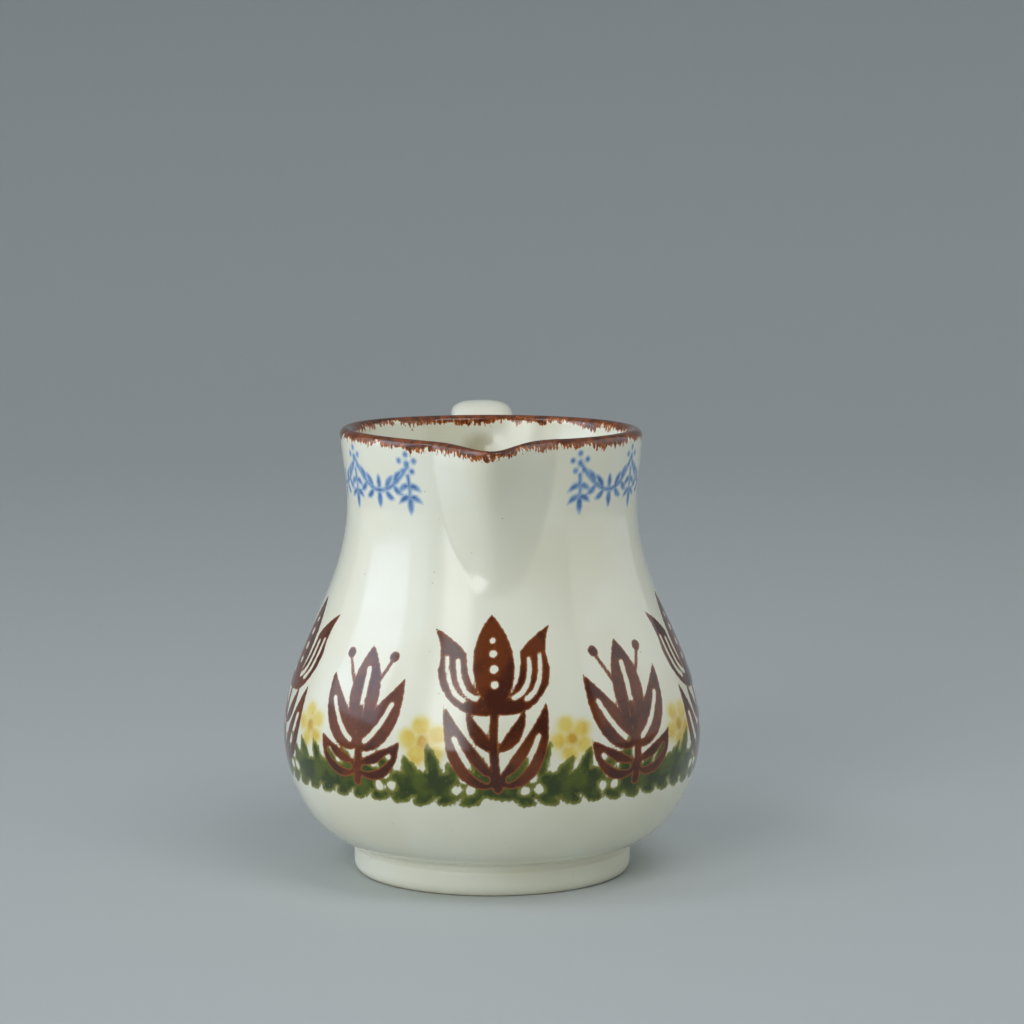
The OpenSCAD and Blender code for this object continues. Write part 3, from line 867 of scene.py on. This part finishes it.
# The foot is glazed but for the narrow face that it stands on, which is wiped bare
footGlaze, tree, shader = newMaterial("footGlaze")
shader.inputs["Coat Roughness"].default_value = foot["coatRoughness"]
height = calc(tree, "MULTIPLY_ADD", noise(tree, foot["bareGrain"]), foot["bareWander"] * mm,
              parts(tree, ownPlace(tree))[2])
bare = between(tree, height, foot["glazedZ"] * mm, foot["bareZ"] * mm)
surface = mixed(tree, bare, glazeBase(tree, shader, foot["specks"]), colour(*foot["bareTone"]))
rough = between(tree, bare, 0.0, 1.0, glaze["roughness"], foot["bareRoughness"])
tree.links.new(surface, shader.inputs["Base Color"])
tree.links.new(calc(tree, "SUBTRACT", 1.0, bare), shader.inputs["Coat Weight"])
tree.links.new(rough, shader.inputs["Roughness"])

for piece, material, slotName, nodes in (
        (potPiece, potGlaze, "body_glaze", ("body", "spout")),
        (footPiece, footGlaze, "foot_glaze", ("foot_ring",)),
        (strapPiece, strapGlaze, "handle_glaze",
         ("handle", "upper_handle_joint", "lower_handle_joint"))):
    piece.data.materials.append(material)
    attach(piece, "root")
    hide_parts(*nodes)

# Floor, light and camera
studio = {
    "pale": colour(212, 218, 220), "backdrop": colour(196, 205, 209), "paleTo": 0.4, "roughness": 0.7,
    "floorR": 0.9, "wallR": 2.4, "wallZ": 2.6, "bendRows": 12, "around": 96,
    "world": 0.42, "worldTint": (0.98, 1.0, 1.0, 1.0),
    "spread": 130,  # how widely each lamp shines, in degrees
    # angle from the camera's side, distance, middle height, width, height, watts
    "key": (-88, 0.5, 0.36, 0.75, 0.7, 1.1),
    "window": (-85, 0.49, 0.33, 0.34, 0.42, 0.62),
    "sky": (-66, 0.6, 0.98, 0.34, 0.3, 0.42),
    "front": (-27, 1.0, 0.45, 0.5, 0.8, 2.8),
    "fill": (95, 0.7, 0.42, 1.0, 0.8, 1.5),
    "high": (40, 0.75, 1.2, 0.7, 0.7, 1.6),
    "tints": {"key": (0.955, 1.0, 1.1), "sky": (0.955, 1.0, 1.1), "window": (0.87, 1.0, 1.25)},
    # These shine on the pitcher only, so that they leave no edge of light on the floor
    "low": ("key", "window", "fill"),
    # How bright a lamp still is at an edge where it fades, and the share of its size that fades:
    # the low ones towards their lower edge and the front one towards both sides
    "lowEdge": (0.45, 0.6), "sideEdge": (0.2, 0.3),
    "pointedAt": {"sky": 0.05, "high": 0.05},  # height; the others shine level
}

# A round floor that bends up into a wall
bend = np.pi / 2 * np.arange(1, studio["bendRows"] + 1) / studio["bendRows"]
bendR = studio["wallR"] - studio["floorR"]
sweep = np.vstack([
    [[0.0, 0.0], [studio["floorR"], 0.0]],
    np.column_stack([studio["floorR"] + bendR * np.sin(bend), bendR * (1 - np.cos(bend))]),
    [[studio["wallR"], studio["wallZ"]]],
])
sweepR, sweepZ = sweep[:, :1], sweep[:, 1:]
b = 2 * np.pi * np.arange(studio["around"]) / studio["around"]
floorPoints = np.stack([sweepR * np.cos(b), sweepR * np.sin(b), sweepZ + 0 * b], axis=-1).reshape(-1, 3)
floor = newPiece("studioFloor", floorPoints.tolist(), ringFaces(len(sweep), studio["around"]))
floorPaint = bpy.data.materials.new("floorPaint")
floorPaint.use_nodes = True
tree = floorPaint.node_tree
climb = between(tree, parts(tree, ownPlace(tree))[2], 0.0, studio["paleTo"])
shader = tree.nodes["Principled BSDF"]
tree.links.new(mixed(tree, climb, studio["pale"], studio["backdrop"]), shader.inputs["Base Color"])
shader.inputs["Roughness"].default_value = studio["roughness"]
floor.data.materials.append(floorPaint)

world = bpy.data.worlds.new("studioWorld")
world.use_nodes = True
background = world.node_tree.nodes["Background"]
background.inputs["Color"].default_value = studio["worldTint"]
background.inputs["Strength"].default_value = studio["world"]
bpy.context.scene.world = world


def aim(thing, target):
    way = Vector(target) - thing.location
    thing.rotation_euler = way.to_track_quat("-Z", "Y").to_euler()


def fade(lamp, axis, ends, edge):
    # Dims a lamp towards the given ends of its width (axis 0) or its height (axis 1)
    lamp.use_nodes = True
    tree = lamp.node_tree
    place = parts(tree, addNode(tree, "NewGeometry").outputs["Parametric"])[axis]
    dimmest, share = edge
    glow = 1.0
    for end in ends:
        glow = calc(tree, "MULTIPLY", between(tree, place, end, abs(end - share), dimmest), glow)
    tree.links.new(glow, tree.nodes["Emission"].inputs["Strength"])


allButFloor = bpy.data.collections.new("allButFloor")
allButFloor.objects.link(floor)
for entry in allButFloor.collection_objects:
    entry.light_linking.link_state = "EXCLUDE"

for name in ("key", "window", "sky", "front", "fill", "high"):
    angle, distance, middle, width, tall, watts = studio[name]
    turnBy = math.radians(angle)
    lamp = bpy.data.lights.new(name + "Light", "AREA")
    lamp.shape, lamp.size, lamp.size_y, lamp.energy = "RECTANGLE", width, tall, watts
    lamp.spread = math.radians(studio["spread"])
    lamp.color = studio["tints"].get(name, (1.0, 1.0, 1.0))
    made = bpy.data.objects.new(name + "Light", lamp)
    made.location = (distance * math.sin(turnBy), -distance * math.cos(turnBy), middle)
    made.visible_camera = False
    bpy.context.scene.collection.objects.link(made)
    if name in studio["low"]:
        made.light_linking.receiver_collection = allButFloor
        fade(lamp, 1, (0.0,), studio["lowEdge"])
    if name == "front":
        fade(lamp, 0, (0.0, 1.0), studio["sideEdge"])
    aim(made, (0, 0, studio["pointedAt"].get(name, middle)))

# The photograph's angle: a long lens a little above the rim
view = {
    "lens": 120.07, "sensor": 36.0, "near": 0.05, "far": 20.0,
    "distance": 0.761, "height": 0.172, "pitch": 6.82, "azimuth": 1.5, "yaw": 0.338,
}
lens = bpy.data.cameras.new("camera")
lens.lens, lens.sensor_width = view["lens"], view["sensor"]
lens.clip_start, lens.clip_end = view["near"], view["far"]
camera = bpy.data.objects.new("camera", lens)
turnBy = math.radians(view["azimuth"])
camera.location = (-view["distance"] * math.sin(turnBy), -view["distance"] * math.cos(turnBy),
                   view["height"])
camera.rotation_euler = (math.radians(90 - view["pitch"]), 0,
                         -math.radians(view["azimuth"] + view["yaw"]))
bpy.context.scene.collection.objects.link(camera)
bpy.context.scene.camera = camera
bpy.context.scene.view_settings.view_transform = "Standard"
print("studio: floor, lights and camera set")
